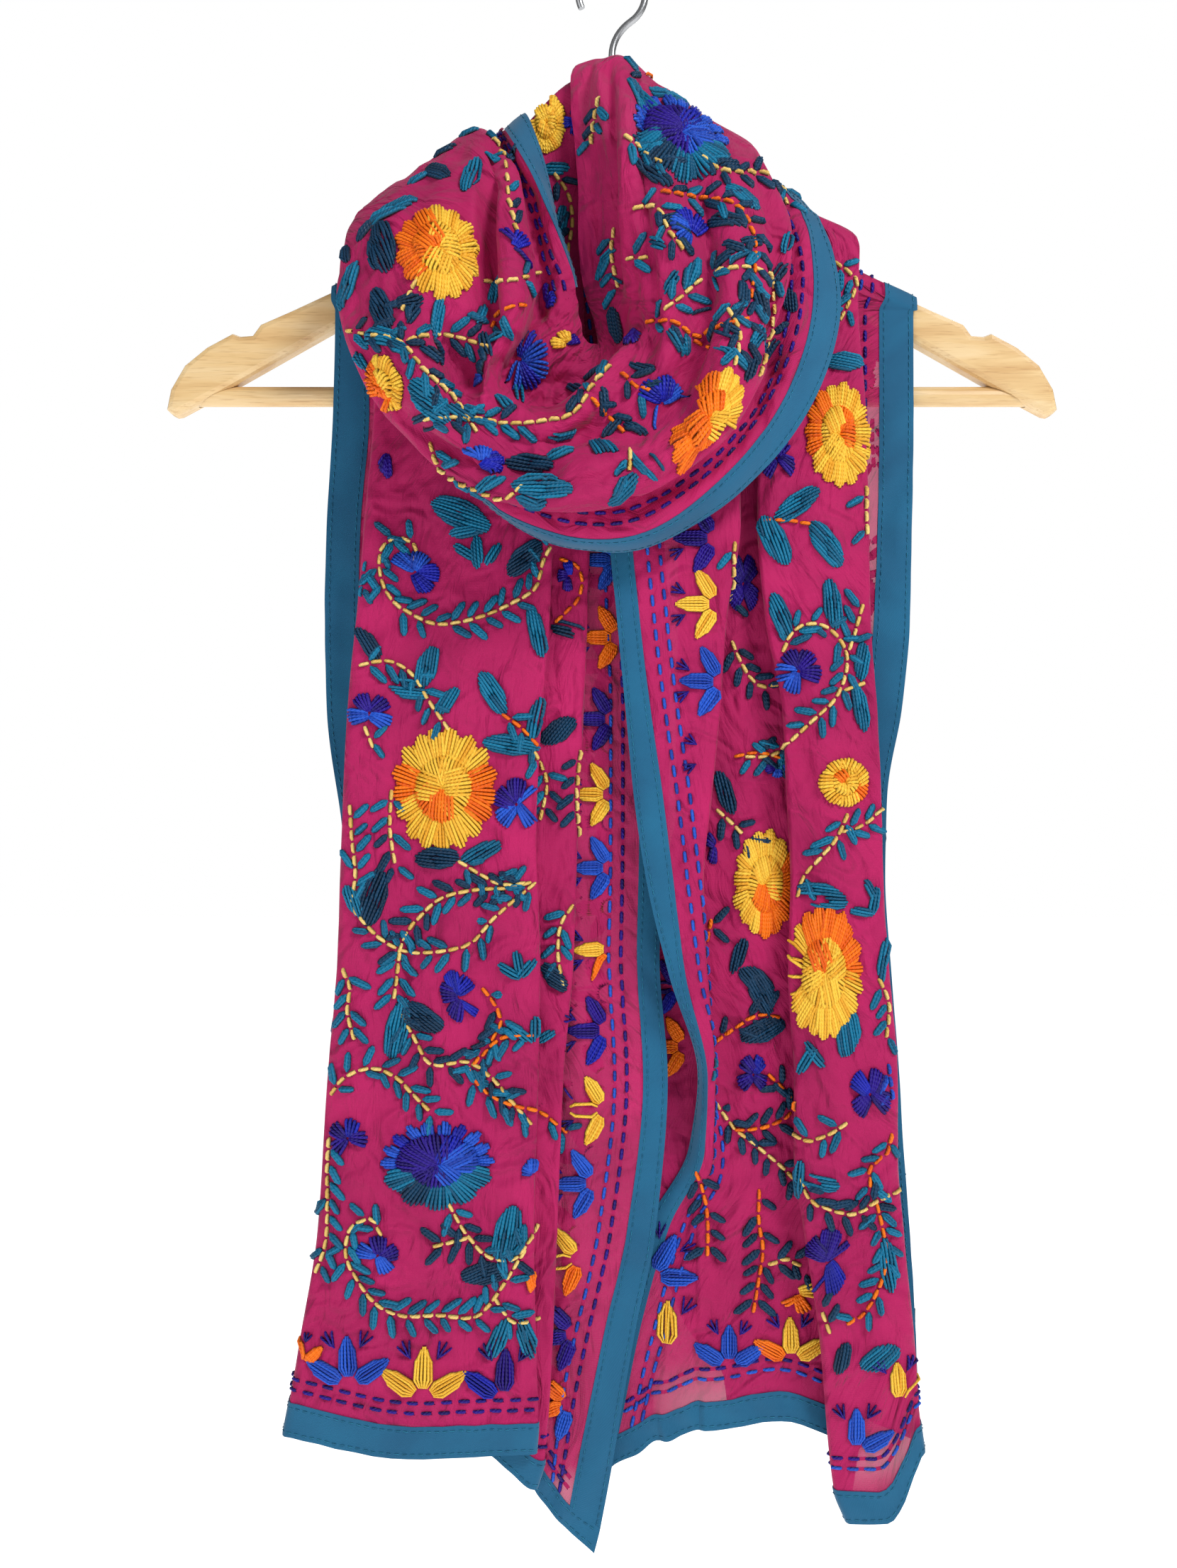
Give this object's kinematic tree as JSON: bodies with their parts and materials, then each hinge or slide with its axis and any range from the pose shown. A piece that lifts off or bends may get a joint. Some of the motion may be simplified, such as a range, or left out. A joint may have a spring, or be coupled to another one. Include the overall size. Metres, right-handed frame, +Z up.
{
  "type": "dupatta stole on a wooden hanger",
  "caption": "Long thin embroidered stole with bound edges, looped round the hook of a flat wooden hanger, a deep cowl in front over two pleated hanging ends",
  "frame": {"origin": "inner top of the hook, where the hanger hangs on a rail", "axes": "+Z up, the front of the stole faces -Y, +X to the right of a viewer facing it"},
  "size_m": [0.446, 0.1476, 0.7925],
  "materials": {
    "georgette": "thin crisp magenta georgette, slightly see-through, embroidered with thick thread",
    "binding_tape": "teal woven binding with tone-on-tone stitching",
    "beech": "clear satin varnish",
    "steel_wire": "plated wire"
  },
  "bodies": {
    "root": {"front_loop": "georgette", "front_loop_inner_tape": "binding_tape", "front_loop_tape": "binding_tape", "hanger_arms": "beech", "hanger_bar": "beech", "hanger_hook": "steel_wire", "left_hem_tape": "binding_tape", "left_inner_tape": "binding_tape", "left_outer_tape": "binding_tape", "left_tail": "georgette", "neck_back": "georgette", "neck_back_tape": "binding_tape", "right_hem_tape": "binding_tape", "right_inner_tape": "binding_tape", "right_outer_tape": "binding_tape", "right_tail": "georgette"}
  },
  "joints": []
}
